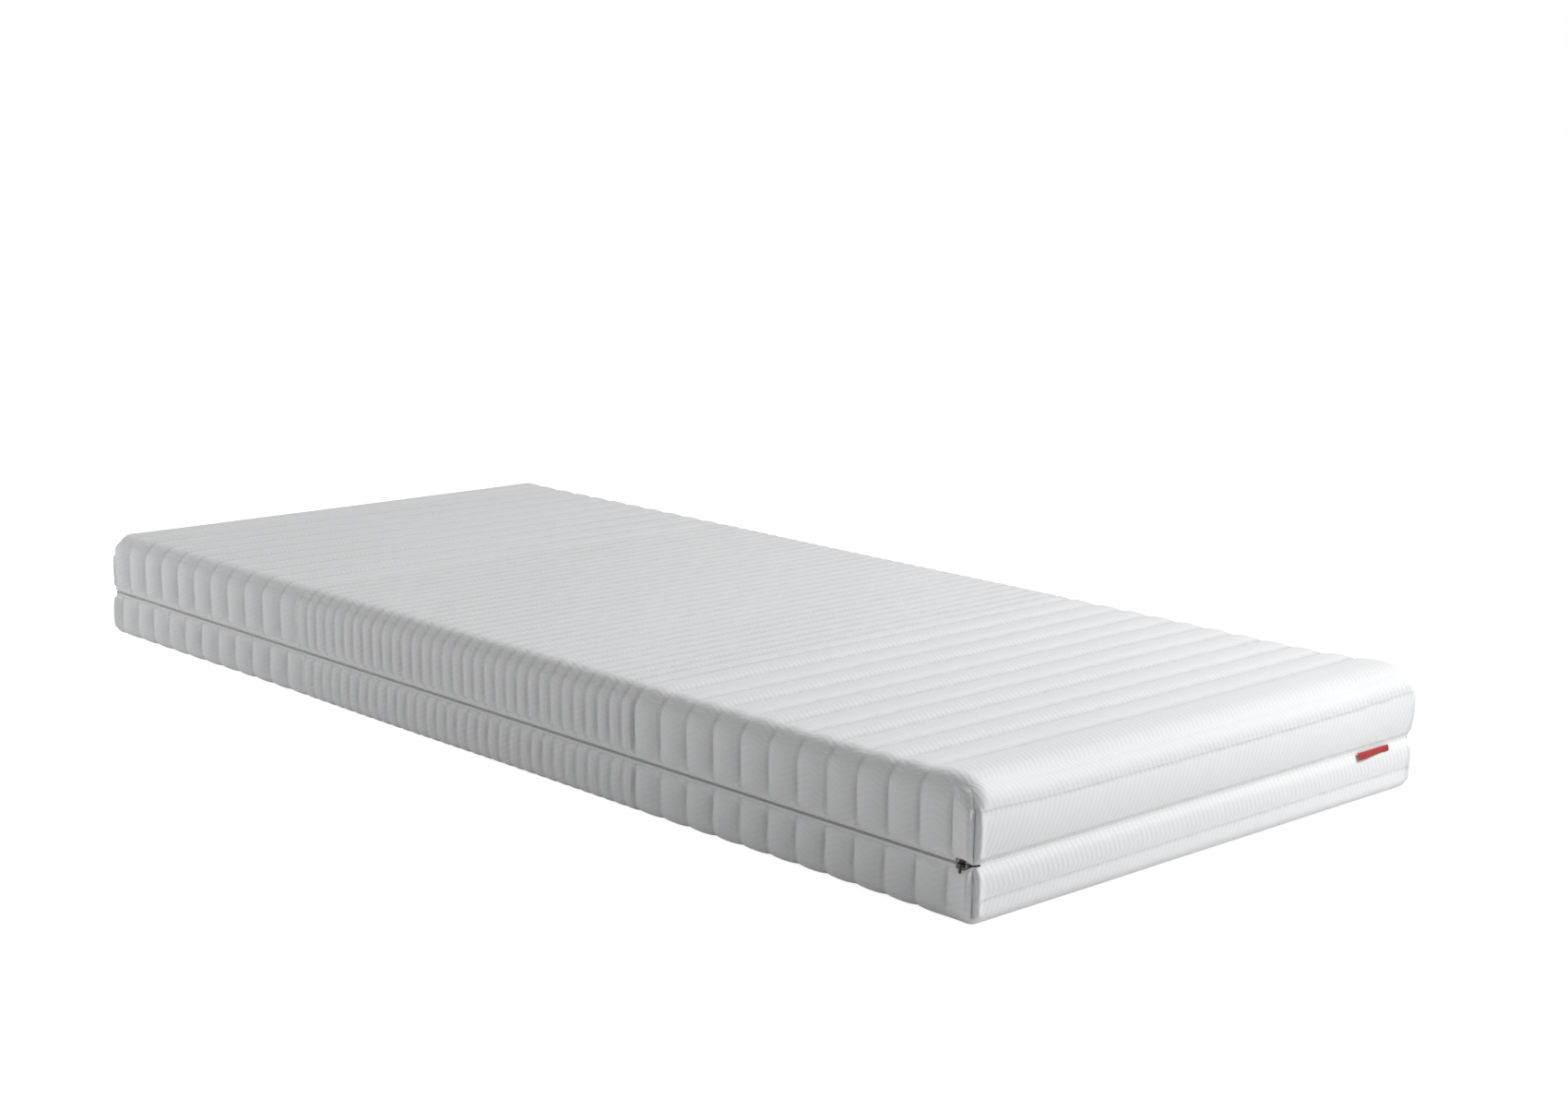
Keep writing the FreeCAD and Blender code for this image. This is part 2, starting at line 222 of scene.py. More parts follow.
def quilt_lines(last_line, stretch):
    """Where the stitched lines lie along the cloth, from its far to its near edge."""
    lines = [last_line]
    for width, count in ((WIDE, WIDE_AT_HEAD), (NARROW, NARROW_COUNT), (WIDE, WIDE_AT_FOOT + 1)):
        for _ in range(count):
            lines.insert(0, lines[0] - width * stretch)
    lines.insert(0, lines[0] - WIDE)
    lines.append(last_line + 1.46 * WIDE)
    lines.append(lines[-1] + WIDE)
    return np.array(lines)


def places_between(lines, start, end, spacing):
    """Grid places from start to end that include every line between them."""
    stops = [start, *[line for line in lines if start + 0.002 < line < end - 0.002], end]
    places = [start]
    for near, far in zip(stops, stops[1:]):
        count = max(2, round((far - near) / spacing))
        places.extend(near + (far - near) * part / count for part in range(1, count + 1))
    return np.array(places)


def puff(places, lines, depth_wide, depth_narrow):
    """How far the cloth is pulled in at each place, and the distance to a stitched line."""
    index = np.clip(np.searchsorted(lines, places) - 1, 0, len(lines) - 2)
    low, high = lines[index], lines[index + 1]
    width = high - low
    share = np.clip((places - low) / width, 0, 1)
    depth = np.where(width > 1.5 * NARROW, depth_wide, depth_narrow)
    fullness = 1 - np.abs(2 * share - 1) ** 2.3
    distance = np.minimum(np.abs(places - low), np.abs(high - places))
    tuck = 0.0011 * np.exp(-((distance / 0.0020) ** 2))
    return depth * (1 - fullness) + tuck, distance


def ripple(x, y, seed):
    """Slow unevenness of hand-filled cloth, between about -1 and 1."""
    total = np.zeros_like(x)
    rng = np.random.default_rng(seed)
    for _ in range(9):
        way_x, way_y = rng.normal(0, 9, 2)
        total += np.sin(way_x * x + way_y * y + rng.uniform(0, 6.28))
    return total / 4.5


SEAM_TOP = {1: 0.034, -1: 0.008}
SLIDER_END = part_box("zip_slider_body")[1].x


def quilted_half(name, side, lines, seed):
    """One half of the cover: a quilted sheet folded over the edges of the mattress."""
    face = 0.0 if side < 0 else HEIGHT
    drop = abs(face - (LOWER_RIM if side < 0 else UPPER_RIM))
    flat_x, flat_y = HALF_X, HALF_Y
    roll_z = PLAIN_ROLL if side < 0 else UPPER_ROLL_HEIGHT
    down = np.concatenate([np.linspace(0, drop - 0.010, 22)[1:], drop - np.linspace(0.008, 0, 6)])
    along = places_between(lines, -flat_x - drop, flat_x + drop, GRID_STEP)
    along = np.unique(np.round(np.concatenate([along, [-flat_x, flat_x]]), 6))
    keep = np.ones(len(along), bool)
    for fold in (-flat_x, flat_x):
        keep &= (np.abs(along - fold) > 0.0012) | (along == round(fold, 6))
    along = along[keep]
    edge = np.linspace(flat_y - 0.030, flat_y, 17)
    middle = np.concatenate([-edge[::-1], np.linspace(-flat_y + 0.030, flat_y - 0.030, 93)[1:-1], edge])
    across = np.concatenate([-flat_y - down[::-1], middle, flat_y + down])
    grid_u, grid_v = np.meshgrid(along, across, indexing="ij")
    over_x = np.maximum(np.abs(grid_u) - flat_x, 0)
    over_y = np.maximum(np.abs(grid_v) - flat_y, 0)
    fall = np.maximum(over_x, over_y)
    box_x = np.clip(grid_u, -flat_x, flat_x)
    box_y = np.clip(grid_v, -flat_y, flat_y)
    at_seam = np.where(grid_u >= flat_x, 1.0, np.clip((box_x - SLIDER_END) / 0.014, 0, 1))
    at_seam = at_seam * at_seam * (3 - 2 * at_seam)
    reach = 1 + (RIM_GAP - 0.0012) / drop * at_seam
    rim = face - side * drop * reach
    box_z = face - side * fall * reach
    corner_point = np.stack([box_x, box_y, box_z], axis=-1)
    softness = np.clip(1 - fall / 0.055, 0, 1) * (side > 0)
    roll_x = PLAIN_ROLL + np.where(grid_u > 0, NEAR_END_ROLL, FAR_END_ROLL) * softness
    roll_y = PLAIN_ROLL + LONG_SIDE_ROLL * softness
    rolls = np.stack([roll_x, roll_y, np.full_like(fall, roll_z)], axis=-1)
    limits = np.array([flat_x, flat_y, 0]) - rolls
    inner = np.clip(corner_point, -limits, limits)
    inner[..., 2] = np.minimum(box_z, face - roll_z) if side > 0 else np.maximum(box_z, face + roll_z)
    way = (corner_point - inner) / rolls
    way /= (np.abs(way) ** ROUNDNESS).sum(axis=-1, keepdims=True) ** (1 / ROUNDNESS)
    place = inner + way * rolls
    normal = np.sign(way) * np.abs(way) ** (ROUNDNESS - 1) / rolls
    normal /= np.linalg.norm(normal, axis=-1, keepdims=True)

    pulled, distance = puff(grid_u, lines, WIDE_PUFF, NARROW_PUFF)
    pulled = pulled * (1 + 0.12 * ripple(grid_u * 3, grid_v, seed))
    from_rim = np.abs(place[..., 2] - rim)
    on_wall = np.clip(fall / 0.03, 0, 1)
    on_side = np.clip(over_y / 0.02, 0, 1)
    on_end = np.clip(over_x / 0.02, 0, 1)
    last = np.exp(-(((np.abs(grid_u) - lines[-3]) / 0.022) ** 2))
    pulled = pulled * (1 - 0.85 * last * (1 - on_side)) * (1 - 0.3 * on_end)
    distance = distance + 0.02 * last * (1 - on_side) + 0.0020 * on_end
    pulled = pulled * (0.55 + 0.45 * np.clip(from_rim / 0.018, 0, 1))
    edge_gap = np.minimum(flat_x - np.abs(box_x), flat_y - np.abs(box_y))
    pulled = pulled * (1 - 0.55 * np.exp(-(((edge_gap + fall) / 0.028) ** 2)))
    wall_swell = 0.0020 * np.sin(math.pi * np.clip(from_rim / drop, 0, 1))
    to_corner = np.hypot(flat_x - np.abs(box_x), flat_y - np.abs(box_y))
    seam_start = np.clip((fall - SEAM_TOP[side]) / 0.006, 0, 1)
    groove = np.exp(-((to_corner / GROOVE_WIDTH) ** 2)) * seam_start
    lip = np.exp(-(((to_corner - 0.010) / 0.005) ** 2)) * seam_start
    seam_pillow = np.exp(-((to_corner / 0.020) ** 2)) * seam_start
    pulled = pulled * (1 - 0.75 * seam_pillow)
    inward = pulled + GROOVE_DEPTH * groove - SEAM_LIP * lip - wall_swell * on_wall
    inward = inward + 0.0006 * ripple(grid_u, grid_v, seed + 7) + 0.0006
    tucked = np.exp(-((from_rim / (0.0034 + 0.0030 * at_seam)) ** 2)) * on_wall
    inward = inward * (1 - tucked) + (RIM_DEPTH + 0.0012 * at_seam) * tucked
    droop = 0.0030 * (1 - np.clip((edge_gap + fall) / 0.05, 0, 1)) ** 2 * (side > 0)
    place = place - normal * inward[..., None]
    full = np.exp(-((to_corner / 0.10) ** 2)) * (grid_u > 0) * (side > 0) * np.clip(from_rim / 0.06, 0, 1)
    place[..., 2] += CORNER_RISE * full - droop * np.clip(to_corner / 0.12, 0, 1)
    place[..., 0] += 0.0030 * full
    place[..., 1] += 0.0020 * full * np.sign(box_y)

    inside = (over_x > 1e-9) & (over_y > 1e-9)
    key = np.round(np.stack([box_x, box_y, box_z], axis=-1) * 1e5).astype(np.int64)
    flat_key = key.reshape(-1, 3)
    used = np.flatnonzero(~inside.reshape(-1))
    _, first, inverse = np.unique(flat_key[used], axis=0, return_index=True, return_inverse=True)
    inverse = inverse.reshape(-1)
    lookup = np.full(grid_u.size, -1)
    lookup[used] = inverse
    points = place.reshape(-1, 3)[used[first]]
    rows, columns = grid_u.shape
    ids = np.arange(grid_u.size).reshape(rows, columns)
    quads = np.stack([ids[:-1, :-1], ids[1:, :-1], ids[1:, 1:], ids[:-1, 1:]], axis=-1).reshape(-1, 4)
    quads = quads[np.all(lookup[quads] >= 0, axis=1)]
    centre_x = np.abs(grid_u.reshape(-1)[quads].mean(axis=1))
    centre_y = np.abs(grid_v.reshape(-1)[quads].mean(axis=1))
    quads = quads[~((centre_x > flat_x) & (centre_y > flat_y))]
    if side < 0:
        quads = quads[:, ::-1]
    piece = make_mesh(name, points, lookup[quads])
    corners = quads.reshape(-1)
    cloth = piece.data.uv_layers.new(name="cloth")
    cloth.data.foreach_set("uv", np.stack([grid_u.reshape(-1)[corners],
                                           grid_v.reshape(-1)[corners]], axis=1).reshape(-1))
    stitch = piece.data.uv_layers.new(name="stitch")
    stitch.data.foreach_set("uv", np.stack([distance.reshape(-1)[corners],
                                            grid_v.reshape(-1)[corners]], axis=1).reshape(-1))
    return piece


def knit_group():
    """Fine jacquard knit: rows of small slanted loops that change hand in a herringbone."""
    group = bpy.data.node_groups.new("knit", "ShaderNodeTree")
    group.interface.new_socket("Cloth", in_out="INPUT", socket_type="NodeSocketVector")
    group.interface.new_socket("Height", in_out="OUTPUT", socket_type="NodeSocketFloat")
    nodes, links = group.nodes, group.links
    entry = nodes.new("NodeGroupInput")
    leave = nodes.new("NodeGroupOutput")
    split = nodes.new("ShaderNodeSeparateXYZ")
    links.new(entry.outputs["Cloth"], split.inputs["Vector"])

    def math_node(operation, first, second=None, third=None):
        node = nodes.new("ShaderNodeMath")
        node.operation = operation
        for socket, value in zip(node.inputs, (first, second, third)):
            if value is None:
                continue
            if isinstance(value, (int, float)):
                socket.default_value = value
            else:
                links.new(value, socket)
        return node.outputs[0]

    slanted = math_node("PINGPONG", split.outputs["X"], 0.052)
    course = math_node("MULTIPLY_ADD", slanted, 0.45, split.outputs["Y"])
    ribs = math_node("SINE", math_node("MULTIPLY", course, 2 * math.pi / 0.0088))
    wales = math_node("SINE", math_node("MULTIPLY", split.outputs["Y"], 2 * math.pi / 0.0031))
    rows = math_node("SINE", math_node("MULTIPLY", split.outputs["X"], 2 * math.pi / 0.0024))
    loops = math_node("MULTIPLY", wales, rows)
    links.new(math_node("MULTIPLY_ADD", loops, 0.3, math_node("MULTIPLY", ribs, 0.7)),
              leave.inputs["Height"])
    return group


knit = knit_group()


def quilted_material(name, colour):
    """Knitted ticking over wadding, with a row of thread sunk in each channel and painted shade that
    darkens the colour along each stitched line.
    """
    material, nodes, links, surface = new_material(name, colour, 0.92)
    surface.inputs["Sheen Weight"].default_value = 0.25
    surface.inputs["Sheen Roughness"].default_value = 0.5
    cloth = nodes.new("ShaderNodeUVMap")
    cloth.uv_map = "cloth"
    stitch = nodes.new("ShaderNodeUVMap")
    stitch.uv_map = "stitch"
    loops = nodes.new("ShaderNodeGroup")
    loops.node_tree = knit
    links.new(cloth.outputs["UV"], loops.inputs["Cloth"])
    fluff = nodes.new("ShaderNodeTexNoise")
    fluff.inputs["Scale"].default_value = 420
    fluff.inputs["Detail"].default_value = 4
    links.new(cloth.outputs["UV"], fluff.inputs["Vector"])
    crease = nodes.new("ShaderNodeTexNoise")
    crease.inputs["Scale"].default_value = 34
    crease.inputs["Detail"].default_value = 3
    links.new(cloth.outputs["UV"], crease.inputs["Vector"])
    split = nodes.new("ShaderNodeSeparateXYZ")
    links.new(stitch.outputs["UV"], split.inputs["Vector"])
    near_line = nodes.new("ShaderNodeMapRange")
    near_line.inputs["From Min"].default_value = 0.0
    near_line.inputs["From Max"].default_value = 0.008
    near_line.inputs["To Min"].default_value = 1.0
    near_line.inputs["To Max"].default_value = 0.0
    near_line.interpolation_type = "SMOOTHSTEP"
    links.new(split.outputs["X"], near_line.inputs["Value"])
    pucker = nodes.new("ShaderNodeMath")
    pucker.operation = "MULTIPLY"
    links.new(near_line.outputs["Result"], pucker.inputs[0])
    links.new(crease.outputs["Fac"], pucker.inputs[1])
    dash = nodes.new("ShaderNodeMath")
    dash.operation = "PINGPONG"
    dash.inputs[1].default_value = 0.0022
    links.new(split.outputs["Y"], dash.inputs[0])
    thread = nodes.new("ShaderNodeMath")
    thread.operation = "LESS_THAN"
    thread.inputs[1].default_value = 0.0006
    links.new(split.outputs["X"], thread.inputs[0])
    dashed = nodes.new("ShaderNodeMath")
    dashed.operation = "GREATER_THAN"
    dashed.inputs[1].default_value = 0.0005
    links.new(dash.outputs[0], dashed.inputs[0])
    stitches = nodes.new("ShaderNodeMath")
    stitches.operation = "MULTIPLY"
    links.new(thread.outputs[0], stitches.inputs[0])
    links.new(dashed.outputs[0], stitches.inputs[1])

    weave_bump = nodes.new("ShaderNodeBump")
    weave_bump.inputs["Strength"].default_value = 0.32
    weave_bump.inputs["Distance"].default_value = 0.00035
    links.new(loops.outputs["Height"], weave_bump.inputs["Height"])
    fluff_bump = nodes.new("ShaderNodeBump")
    fluff_bump.inputs["Strength"].default_value = 0.35
    fluff_bump.inputs["Distance"].default_value = 0.0006
    links.new(fluff.outputs["Fac"], fluff_bump.inputs["Height"])
    links.new(weave_bump.outputs["Normal"], fluff_bump.inputs["Normal"])
    pucker_bump = nodes.new("ShaderNodeBump")
    pucker_bump.inputs["Strength"].default_value = 0.7
    pucker_bump.inputs["Distance"].default_value = 0.003
    links.new(pucker.outputs[0], pucker_bump.inputs["Height"])
    links.new(fluff_bump.outputs["Normal"], pucker_bump.inputs["Normal"])
    thread_bump = nodes.new("ShaderNodeBump")
    thread_bump.inputs["Strength"].default_value = 0.8
    thread_bump.inputs["Distance"].default_value = 0.0008
    links.new(stitches.outputs[0], thread_bump.inputs["Height"])
    links.new(pucker_bump.outputs["Normal"], thread_bump.inputs["Normal"])
    links.new(thread_bump.outputs["Normal"], surface.inputs["Normal"])

    tone = nodes.new("ShaderNodeMapRange")
    tone.inputs["From Min"].default_value = -1.0
    tone.inputs["From Max"].default_value = 1.0
    tone.inputs["To Min"].default_value = 0.965
    tone.inputs["To Max"].default_value = 1.0
    links.new(loops.outputs["Height"], tone.inputs["Value"])
    shade = nodes.new("ShaderNodeMix")
    shade.data_type = "RGBA"
    shade.blend_type = "MULTIPLY"
    shade.inputs["Factor"].default_value = 1.0
    shade.inputs["A"].default_value = (*colour, 1)
    # Painted shade: the colour is darkened by up to 9% within 8 mm of each stitched line, where the
    # channels dip.
    painted_line_shade = nodes.new("ShaderNodeMath")
    painted_line_shade.operation = "MULTIPLY_ADD"
    painted_line_shade.inputs[1].default_value = -0.09
    links.new(near_line.outputs["Result"], painted_line_shade.inputs[0])
    links.new(tone.outputs["Result"], painted_line_shade.inputs[2])
    links.new(painted_line_shade.outputs[0], shade.inputs["B"])
    links.new(shade.outputs["Result"], surface.inputs["Base Color"])
    return material


TICKING_WHITE = (0.83, 0.835, 0.845)
ticking_material = quilted_material("quilted_ticking", TICKING_WHITE)
lower_quilt = quilted_half("lower_quilt", -1, quilt_lines(0.955, 0.985), 3)
give(lower_quilt, ticking_material)
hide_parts("bottom_cover_ticking", "bottom_cover_wadding")
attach(lower_quilt, "mattress")

# ------------------------------------------------------------ quilted upper cover
# The upper half is made like the lower one, and is deeper. Its stitched lines don't
# meet those below, because the two halves are cut and quilted apart.
upper_quilt = quilted_half("upper_quilt", 1, quilt_lines(0.960, 1.0), 5)
give(upper_quilt, ticking_material)
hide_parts("top_cover_ticking", "top_cover_wadding")
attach(upper_quilt, "upper_cover")

# ------------------------------------------------------------ lips over the zip
# Each half of the cover ends in a folded strip of the same knit, top-stitched along its
# fold. The two folds face each other in front of the zip and hide it.
LIP_GAP = 0.0014
LIP_END = SLIDER_END - 0.012


def open_route(inset, end, step):
    """Points and outward ways from one end of the zip, round the far end and back."""
    loop, ways = outline(HALF_X, HALF_Y, CORNER, step)
    loop = loop - ways * inset
    first = np.flatnonzero((loop[:, 1] > 0) & (loop[:, 0] <= end))[0]
    loop, ways = np.roll(loop, -first, axis=0), np.roll(ways, -first, axis=0)
    keep = loop[:, 0] <= end
    loop, ways = loop[keep], ways[keep]
    start, finish = np.array([[end, loop[0, 1]]]), np.array([[end, loop[-1, 1]]])
    return np.vstack([start, loop, finish]), np.vstack([ways[:1], ways, ways[-1:]])


def distances(route):
    return np.concatenate([[0], np.cumsum(np.linalg.norm(np.diff(route, axis=0), axis=1))])


def strip(name, route, ways, section, closed_ring):
    """A strip with its section as (depth, height), and cloth and stitch coordinates."""
    rings = []
    for depth, height in section + section[:1]:
        ring = route - ways * depth
        rings.append(np.column_stack([ring, np.full(len(ring), height)]))
    points, faces = loft(rings, closed_ring)
    piece = make_mesh(name, points, faces)
    steps = distances(route)
    corners = np.asarray(faces).reshape(-1)
    heights, runs = points[corners, 2], steps[corners % len(route)]
    fold = ZIP_Z + math.copysign(0.0042, heights.mean() - ZIP_Z)
    cloth = piece.data.uv_layers.new(name="cloth")
    cloth.data.foreach_set("uv", np.stack([heights, runs], axis=1).reshape(-1))
    stitch = piece.data.uv_layers.new(name="stitch")
    stitch.data.foreach_set("uv", np.stack([np.abs(heights - fold), runs], axis=1).reshape(-1))
    return piece


def lip_section(side):
    """A fold of doubled knit in front of the zip, and the part of it sewn behind the wadding."""
    proud = 0.0009 if side > 0 else 0.0
    fold = [(0.0046, 0.0200), (0.0046, 0.0095), (0.0034, 0.0070), (0.0028 - proud, 0.0052),
            (0.0027 - proud, 0.0036), (0.0028 - proud / 3, 0.0024), (0.0033, LIP_GAP),
            (0.0039, LIP_GAP + 0.0003), (0.0042, 0.0034), (0.0043, 0.0050), (0.0050, 0.0110),
            (0.0058, 0.0130), (0.0058, 0.0200)]
    return [(depth, ZIP_Z + side * rise) for depth, rise in fold]


# The lips are the same knit, painted lighter than the ticking as painted light on the folds. The same
# painted shade runs along each lip's stitched fold.
lip_painted_light_material = quilted_material("lip_knit_painted_light", (0.90, 0.905, 0.91))
lip_route, lip_ways = open_route(0, LIP_END, 0.012)
upper_lip = strip("upper_lip", lip_route, lip_ways, lip_section(1), False)
lower_lip = strip("lower_lip", lip_route, lip_ways, lip_section(-1), False)
for lip, node, body in ((upper_lip, "top_cover_hem", "upper_cover"),
                        (lower_lip, "bottom_cover_hem", "mattress")):
    give(lip, lip_painted_light_material)
    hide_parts(node)
    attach(lip, body)

# --------------------------------------------------------------- wadding edges
# The wadding stops short of the zip, and its cut edge is caught between the knit and
# the backing. It is bonded polyester fibre, soft and slightly ragged.


def fibre_material():
    """Bonded white fibre: crossing hairs at two scales."""
    material, nodes, links, surface = new_material("wadding_fibre", (0.86, 0.86, 0.85), 1.0)
    place = nodes.new("ShaderNodeTexCoord")
    hairs = nodes.new("ShaderNodeTexNoise")
    hairs.inputs["Scale"].default_value = 260
    hairs.inputs["Detail"].default_value = 8
    hairs.inputs["Distortion"].default_value = 2.5
    links.new(place.outputs["Object"], hairs.inputs["Vector"])
    roughen(nodes, links, surface, hairs.outputs["Fac"], 0.9, 0.002)
    return material


def wadding_edge(name, side):
    section = [(0.0060, 0.0205), (0.0072, 0.0198), (0.0088, 0.0203), (0.0102, 0.0210), (0.0103, 0.030),
               (0.0103, 0.040), (0.0062, 0.040), (0.0060, 0.030)]
    loop, ways = outline(HALF_X, HALF_Y, CORNER, 0.012)
    piece = strip(name, loop, ways, [(depth, ZIP_Z + side * rise) for depth, rise in section], True)
    points = np.array([vertex.co[:] for vertex in piece.data.vertices])
    waver = 0.0005 * ripple(points[:, 0] * 9, points[:, 1] * 9, 11)
    near_rim = np.abs(points[:, 2] - ZIP_Z) < 0.025
    points[:, 2] += waver * near_rim
    piece.data.vertices.foreach_set("co", points.reshape(-1))
    return piece


wadding_material = fibre_material()
for name, side, body in (("upper_wadding_edge", 1, "upper_cover"),
                         ("lower_wadding_edge", -1, "mattress")):
    edge = wadding_edge(name, side)
    give(edge, wadding_material)
    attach(edge, body)

# ---------------------------------------------------------------------- linings
# A thin non-woven backing closes the inside of each half. Each is cut as a cross, and
# its four corners are sewn up into an open box.
LINING_CORNER = 0.006


def lining_box(name, side):
    """An open box of thin cloth, a little loose, that lines one half of the cover."""
    low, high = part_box("top_cover_lining" if side > 0 else "bottom_cover_lining")
    half_x, half_y = high.x - 0.0005, high.y - 0.0005
    face = high.z - 0.0005 if side > 0 else low.z + 0.0005
    rim = low.z if side > 0 else high.z
    roll = 0.016
    loop, ways = outline(half_x, half_y, LINING_CORNER + roll, 0.015)
    rings = []
    for height in np.linspace(rim, face - side * roll, 8):
        rings.append((0.0, height))
    for angle in np.linspace(0, math.pi / 2, 6)[1:]:
        rings.append((roll * (1 - math.cos(angle)), face - side * roll * (1 - math.sin(angle))))
    layers = [np.column_stack([loop - ways * inset, np.full(len(loop), height)])
              for inset, height in rings]
    edge = layers[-1]
    spine = np.clip(edge[:, 0], half_y - half_x, half_x - half_y)
    for share in np.linspace(0, 1, 26)[1:]:
        layers.append(np.column_stack([edge[:, 0] * (1 - share) + share * spine,
                                       edge[:, 1] * (1 - share), edge[:, 2]]))
    points, faces = loft(layers)
    points = points.copy()
    on_wall = np.abs(points[:, 2] - face) > roll
    flutter = 0.0003 * ripple(points[:, 0] * 5, points[:, 1] * 5, 21)
    points[:, 2] -= np.where(on_wall, 0, side * np.abs(flutter))
    piece = make_mesh(name, points, faces)
    merge = piece.modifiers.new("merge", "WELD")
    merge.merge_threshold = 0.0002
    area = sum(polygon.area for polygon in piece.data.polygons)
    depth = abs(face - rim)
    return piece, (2 * half_y + 2 * depth, 2 * half_x + 2 * depth), area


def backing_material():
    """Spun-bonded backing: a fine grid of pressed dots over a faint fibrous mottle."""
    material, nodes, links, surface = new_material("backing", (0.80, 0.81, 0.82), 0.8)
    place = nodes.new("ShaderNodeTexCoord")
    dots = nodes.new("ShaderNodeTexVoronoi")
    dots.inputs["Scale"].default_value = 420
    dots.inputs["Randomness"].default_value = 0.15
    links.new(place.outputs["Object"], dots.inputs["Vector"])
    fibres = nodes.new("ShaderNodeTexNoise")
    fibres.inputs["Scale"].default_value = 60
    fibres.inputs["Detail"].default_value = 8
    links.new(place.outputs["Object"], fibres.inputs["Vector"])
    tint(nodes, links, surface, fibres.outputs["Fac"], (0.76, 0.77, 0.79, 1), (0.84, 0.85, 0.86, 1))
    roughen(nodes, links, surface, dots.outputs["Distance"], 0.4, 0.0004)
    return material


lining_material = backing_material()
for name, node, side, body, rest in (
        ("upper_lining", "top_cover_lining", 1, "upper_cover", "memory_layer"),
        ("lower_lining", "bottom_cover_lining", -1, "mattress", "support_core")):
    lining, blank, blank_area = lining_box(name, side)
    give(lining, lining_material)
    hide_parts(node)
    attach(lining, body)

# --------------------------------------------------------------- corner allowances
# Inside each corner the two edges of the quilting are overlocked together, and the
# allowance stands inwards as a stiff little fin.


def corner_fins(name, side):
    low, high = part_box("top_corner_seams" if side > 0 else "bottom_corner_seams")
    points, faces = [], []
    clear = 0.018
    rises = np.linspace(low.z + (clear if side < 0 else 0), high.z - (clear if side > 0 else 0), 30)
    reach = 0.0055
    for side_x in (-1, 1):
        for side_y in (-1, 1):
            painted_line_shade = 0.0012 if side_x > 0 else 0.0034
            start = np.array([side_x * (high.x - painted_line_shade), side_y * (high.y - painted_line_shade)])
            inwards = -np.array([side_x, side_y]) / math.sqrt(2)
            across = np.array([-inwards[1], inwards[0]])
            base = len(points)
            section = [(0, 0.0011), (reach * 0.5, 0.0009), (reach, 0.0012), (reach + 0.0006, 0),
                       (reach, -0.0012), (reach * 0.5, -0.0009), (0, -0.0011)]
            for rise in rises:
                sway = 0.0007 * math.sin(rise * 210 + side_x + 2 * side_y)
                for out, wide in section:
                    spot = start + inwards * out + across * (wide + sway * out / reach)
                    points.append((spot[0], spot[1], rise))
            size = len(section)
            for ring in range(len(rises) - 1):
                for place in range(size):
                    after = (place + 1) % size
                    faces.append((base + ring * size + place, base + ring * size + after,
                                  base + (ring + 1) * size + after, base + (ring + 1) * size + place))
    return make_mesh(name, points, faces)


def overlock_material():
    """Backing cloth under slanting loops of white overlock thread."""
    material, nodes, links, surface = new_material("overlock", (0.84, 0.84, 0.84), 0.85)
    place = nodes.new("ShaderNodeTexCoord")
    loops = nodes.new("ShaderNodeTexWave")
    loops.bands_direction = "Z"
    loops.inputs["Scale"].default_value = 110
    loops.inputs["Distortion"].default_value = 0.6
    links.new(place.outputs["Object"], loops.inputs["Vector"])
    roughen(nodes, links, surface, loops.outputs["Fac"], 0.8, 0.0005)
    tint(nodes, links, surface, loops.outputs["Fac"], (0.74, 0.75, 0.76, 1), (0.88, 0.88, 0.87, 1))
    return material


overlocked = overlock_material()
for name, node, side, body in (("upper_corner_fins", "top_corner_seams", 1, "upper_cover"),
                               ("lower_corner_fins", "bottom_corner_seams", -1, "mattress")):
    fins = corner_fins(name, side)
    give(fins, overlocked)
    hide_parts(node)
    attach(fins, body)

# -------------------------------------------------------------------- zip tapes
# Two narrow herringbone tapes carry the zip along both sides and round the far end.
# Their ends stop just short of the end with the label.


def zip_route(node, step):
    """The route at the depth of a zip piece, as far as its ends."""
    low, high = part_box(node)
    return open_route(HALF_X + low.x, high.x, step)


def tape_piece(name, node, side):
    low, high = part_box(node)
    route, ways = zip_route(node, 0.012)
    inner_edge = low.z if side > 0 else high.z
    section = [(0.0, 0.0), (-0.0002, 0.0010), (0.0, 0.0021), (0.0003, 0.0030), (0.0003, 0.0165),
               (0.0, 0.0174), (0.0007, 0.0174), (0.0008, 0.0165), (0.0008, 0.0030), (0.0007, 0.0)]
    rings = []
    for depth, rise in section + section[:1]:
        ring = route - ways * depth
        rings.append(np.column_stack([ring, np.full(len(ring), inner_edge + side * rise)]))
    points, faces = loft(rings, closed_ring=False)
    return make_mesh(name, points, faces)


def tape_material():
    """Polyester tape woven in a fine herringbone."""
    material, nodes, links, surface = new_material("zip_tape", (0.86, 0.86, 0.85), 0.75)
    place = nodes.new("ShaderNodeTexCoord")
    weave = nodes.new("ShaderNodeTexWave")
    weave.wave_type = "BANDS"
    weave.bands_direction = "DIAGONAL"
    weave.inputs["Scale"].default_value = 330
    links.new(place.outputs["Object"], weave.inputs["Vector"])
    roughen(nodes, links, surface, weave.outputs["Fac"], 0.5, 0.0003)
    return material


woven_tape = tape_material()
for name, node, side, body in (("upper_zip_tape", "zip_tape_upper", 1, "upper_cover"),
                               ("lower_zip_tape", "zip_tape_lower", -1, "mattress")):
    tape = tape_piece(name, node, side)
    give(tape, woven_tape)
    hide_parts(node)
    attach(tape, body)

# -------------------------------------------------------------------- zip coils
# A nylon thread is wound into a flattened coil along the edge of each tape. The turns of
# one coil sit in the gaps of the other, and the slider presses them together.
COIL_PITCH = 0.0024


